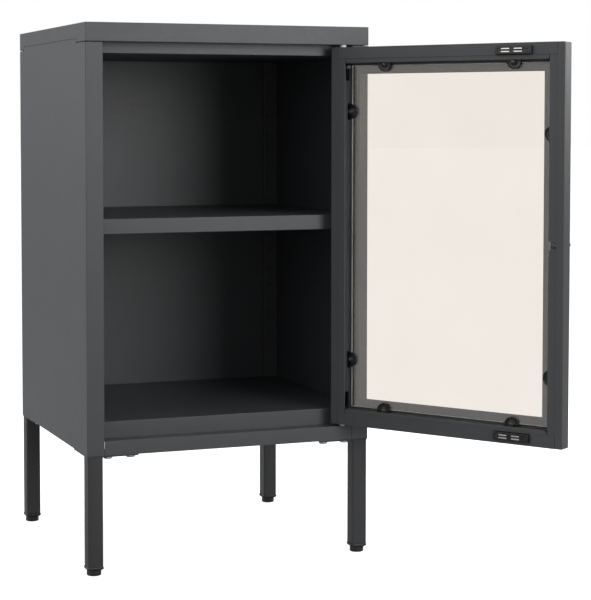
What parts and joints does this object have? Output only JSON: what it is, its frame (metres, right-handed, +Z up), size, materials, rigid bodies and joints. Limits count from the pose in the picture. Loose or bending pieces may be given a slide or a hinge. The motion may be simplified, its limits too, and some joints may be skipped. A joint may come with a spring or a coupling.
{
  "type": "glazed door cabinet",
  "caption": "Small steel side cabinet on four square legs, with a glazed door hung on the right, a loose shelf on clips, magnetic catches and levelling feet.",
  "frame": {"origin": "centre of the footprint of the four feet, on the floor", "axes": "+Z up, -Y out of the front where the door is, +X to the right of someone facing the front"},
  "size_m": [0.5501, 0.6307, 0.7],
  "materials": {
    "cabinet_paint": "anthracite powder coat, fine satin texture",
    "shelf_paint": "anthracite powder coat, fine satin texture",
    "leg_paint": "anthracite powder coat, satin",
    "door_paint": "anthracite powder coat, fine satin texture",
    "knob_paint": "dark powder coat, satin",
    "glass": "clear float glass, polished edge",
    "black_plastic": "moulded black plastic, light sheen",
    "foot_plastic": "moulded black plastic",
    "black_screws": "black oxide",
    "zinc_plate": "bright zinc plate",
    "pole_steel": "bright nickel plate",
    "ferrite": "dull sintered ferrite",
    "nylon": "white nylon, slightly translucent"
  },
  "bodies": {
    "cabinet": {"top_cover": "cabinet_paint", "ceiling_tray": "cabinet_paint", "side_panel_left": "cabinet_paint", "side_panel_right": "cabinet_paint", "front_upright_left": "cabinet_paint", "front_upright_right": "cabinet_paint", "rear_upright_left": "cabinet_paint", "rear_upright_right": "cabinet_paint", "back_panel": "cabinet_paint", "back_screws": "zinc_plate", "floor_tray": "cabinet_paint", "shelf_clips": "zinc_plate", "leg_front_left": "leg_paint", "leg_front_right": "leg_paint", "leg_rear_left": "leg_paint", "leg_rear_right": "leg_paint", "plate_front_left": "leg_paint", "plate_front_right": "leg_paint", "plate_rear_left": "leg_paint", "plate_rear_right": "leg_paint", "leg_bolts": "zinc_plate", "leg_nuts": "zinc_plate", "socket_front_left": "foot_plastic", "socket_front_right": "foot_plastic", "socket_rear_left": "foot_plastic", "socket_rear_right": "foot_plastic", "bush_top": "nylon", "bush_bottom": "nylon"},
    "door": {"door_skin": "door_paint", "door_stile_hinge": "door_paint", "door_stile_free": "door_paint", "door_rail_top": "door_paint", "door_rail_bottom": "door_paint", "glass_pane": "glass", "glass_clips": "black_plastic", "clip_screws": "black_screws", "catch_body_top": "black_plastic", "catch_body_bottom": "black_plastic", "catch_poles": "pole_steel", "catch_magnets": "ferrite", "catch_screws": "black_screws", "knob": "knob_paint", "knob_screw": "zinc_plate", "hinge_block_top": "black_plastic", "hinge_block_bottom": "black_plastic", "hinge_pin_bottom": "zinc_plate", "pin_retainer": "black_plastic"},
    "top_pin": {"hinge_pin_top": "zinc_plate", "pin_spring": "zinc_plate"},
    "shelf": {"shelf": "shelf_paint", "shelf_stiffener": "shelf_paint"},
    "foot_front_left": {"foot_front_left": "foot_plastic"},
    "foot_front_right": {"foot_front_right": "foot_plastic"},
    "foot_rear_left": {"foot_rear_left": "foot_plastic"},
    "foot_rear_right": {"foot_rear_right": "foot_plastic"}
  },
  "joints": [
    {"name": "door_hinge", "type": "hinge", "parent": "cabinet", "child": "door", "pos_m": [0.1585, -0.1735, 0.153], "axis": [0, 0, 1], "range_deg": [-124, 10]},
    {"name": "shelf_lift", "type": "slide", "parent": "cabinet", "child": "shelf", "axis": [0, 0, 1], "range_m": [0, 0.18]},
    {"name": "top_pin_draw", "type": "slide", "parent": "door", "child": "top_pin", "axis": [0, 0, -1], "range_m": [0, 0.0085], "stiffness_N_per_m": 300, "springref_m": -0.006, "deforming": ["pin_spring"]},
    {"name": "level_front_left", "type": "slide", "parent": "cabinet", "child": "foot_front_left", "axis": [0, 0, -1], "range_m": [0, 0.008]},
    {"name": "level_front_right", "type": "slide", "parent": "cabinet", "child": "foot_front_right", "axis": [0, 0, -1], "range_m": [0, 0.008]},
    {"name": "level_rear_left", "type": "slide", "parent": "cabinet", "child": "foot_rear_left", "axis": [0, 0, -1], "range_m": [0, 0.008]},
    {"name": "level_rear_right", "type": "slide", "parent": "cabinet", "child": "foot_rear_right", "axis": [0, 0, -1], "range_m": [0, 0.008]}
  ]
}
